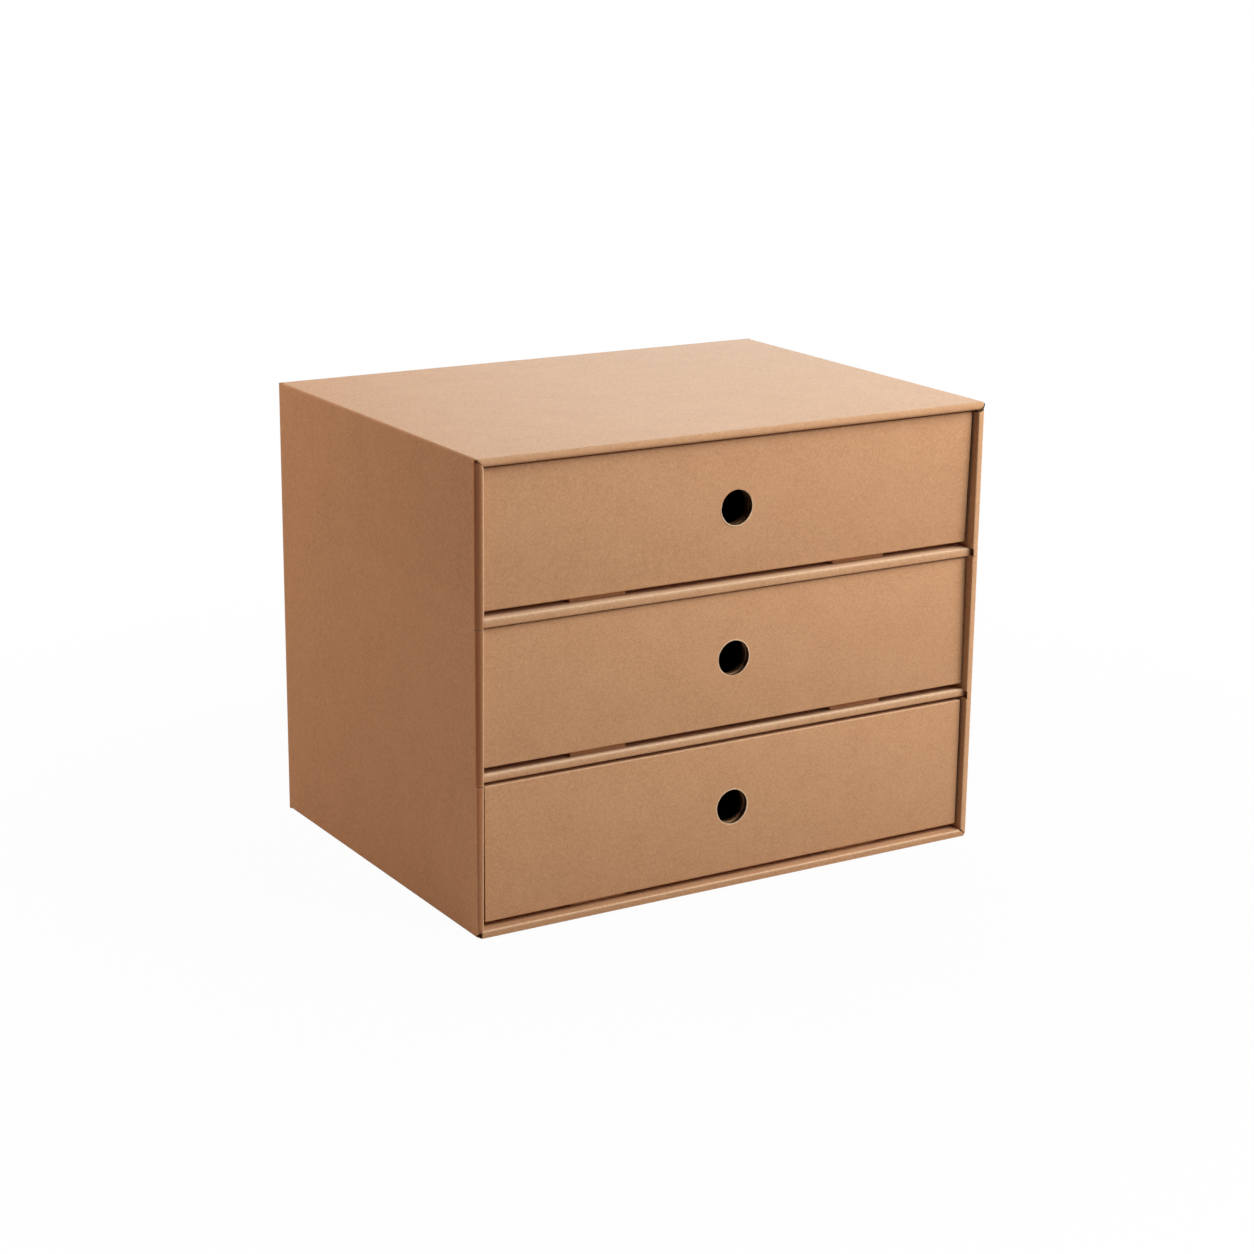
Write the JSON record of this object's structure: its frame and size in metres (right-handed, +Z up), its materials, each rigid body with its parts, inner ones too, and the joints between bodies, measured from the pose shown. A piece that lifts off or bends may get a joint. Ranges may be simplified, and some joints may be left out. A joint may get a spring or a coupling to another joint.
{
  "type": "card desk drawer unit",
  "caption": "Free-standing desk drawer unit folded from brown corrugated card, with slide-in drawers that have a round finger hole, between double-layer shelves.",
  "frame": {"origin": "centre of the underside, on the surface it stands on", "axes": "+X to the right seen from the front, drawers open towards -Y, +Z up"},
  "size_m": [0.33, 0.246, 0.2636],
  "materials": {
    "outer_card": "uncoated brown kraft card",
    "inner_card": "uncoated brown kraft card",
    "drawer_card": "uncoated brown kraft card"
  },
  "bodies": {
    "casing": {"outer_wrap": "outer_card", "liner_top": "inner_card", "liner_bottom": "inner_card", "liner_left_lower": "inner_card", "liner_left_middle": "inner_card", "liner_left_upper": "inner_card", "liner_right_lower": "inner_card", "liner_right_middle": "inner_card", "liner_right_upper": "inner_card", "shelf_lower": "inner_card", "shelf_upper": "inner_card", "back_panel": "outer_card", "dust_flap_left": "inner_card", "dust_flap_right": "inner_card"},
    "drawer_lower": {"drawer_lower_tray": "drawer_card", "drawer_lower_front_liner": "drawer_card", "drawer_lower_back_liner": "drawer_card"},
    "drawer_middle": {"drawer_middle_tray": "drawer_card", "drawer_middle_front_liner": "drawer_card", "drawer_middle_back_liner": "drawer_card"},
    "drawer_upper": {"drawer_upper_tray": "drawer_card", "drawer_upper_front_liner": "drawer_card", "drawer_upper_back_liner": "drawer_card"}
  },
  "joints": [
    {"name": "drawer_lower_slide", "type": "slide", "parent": "casing", "child": "drawer_lower", "axis": [0, -1, 0], "range_m": [-0.0023, 0.2027]},
    {"name": "drawer_middle_slide", "type": "slide", "parent": "casing", "child": "drawer_middle", "axis": [0, -1, 0], "range_m": [-0.0015, 0.2035]},
    {"name": "drawer_upper_slide", "type": "slide", "parent": "casing", "child": "drawer_upper", "axis": [0, -1, 0], "range_m": [0, 0.205]}
  ]
}
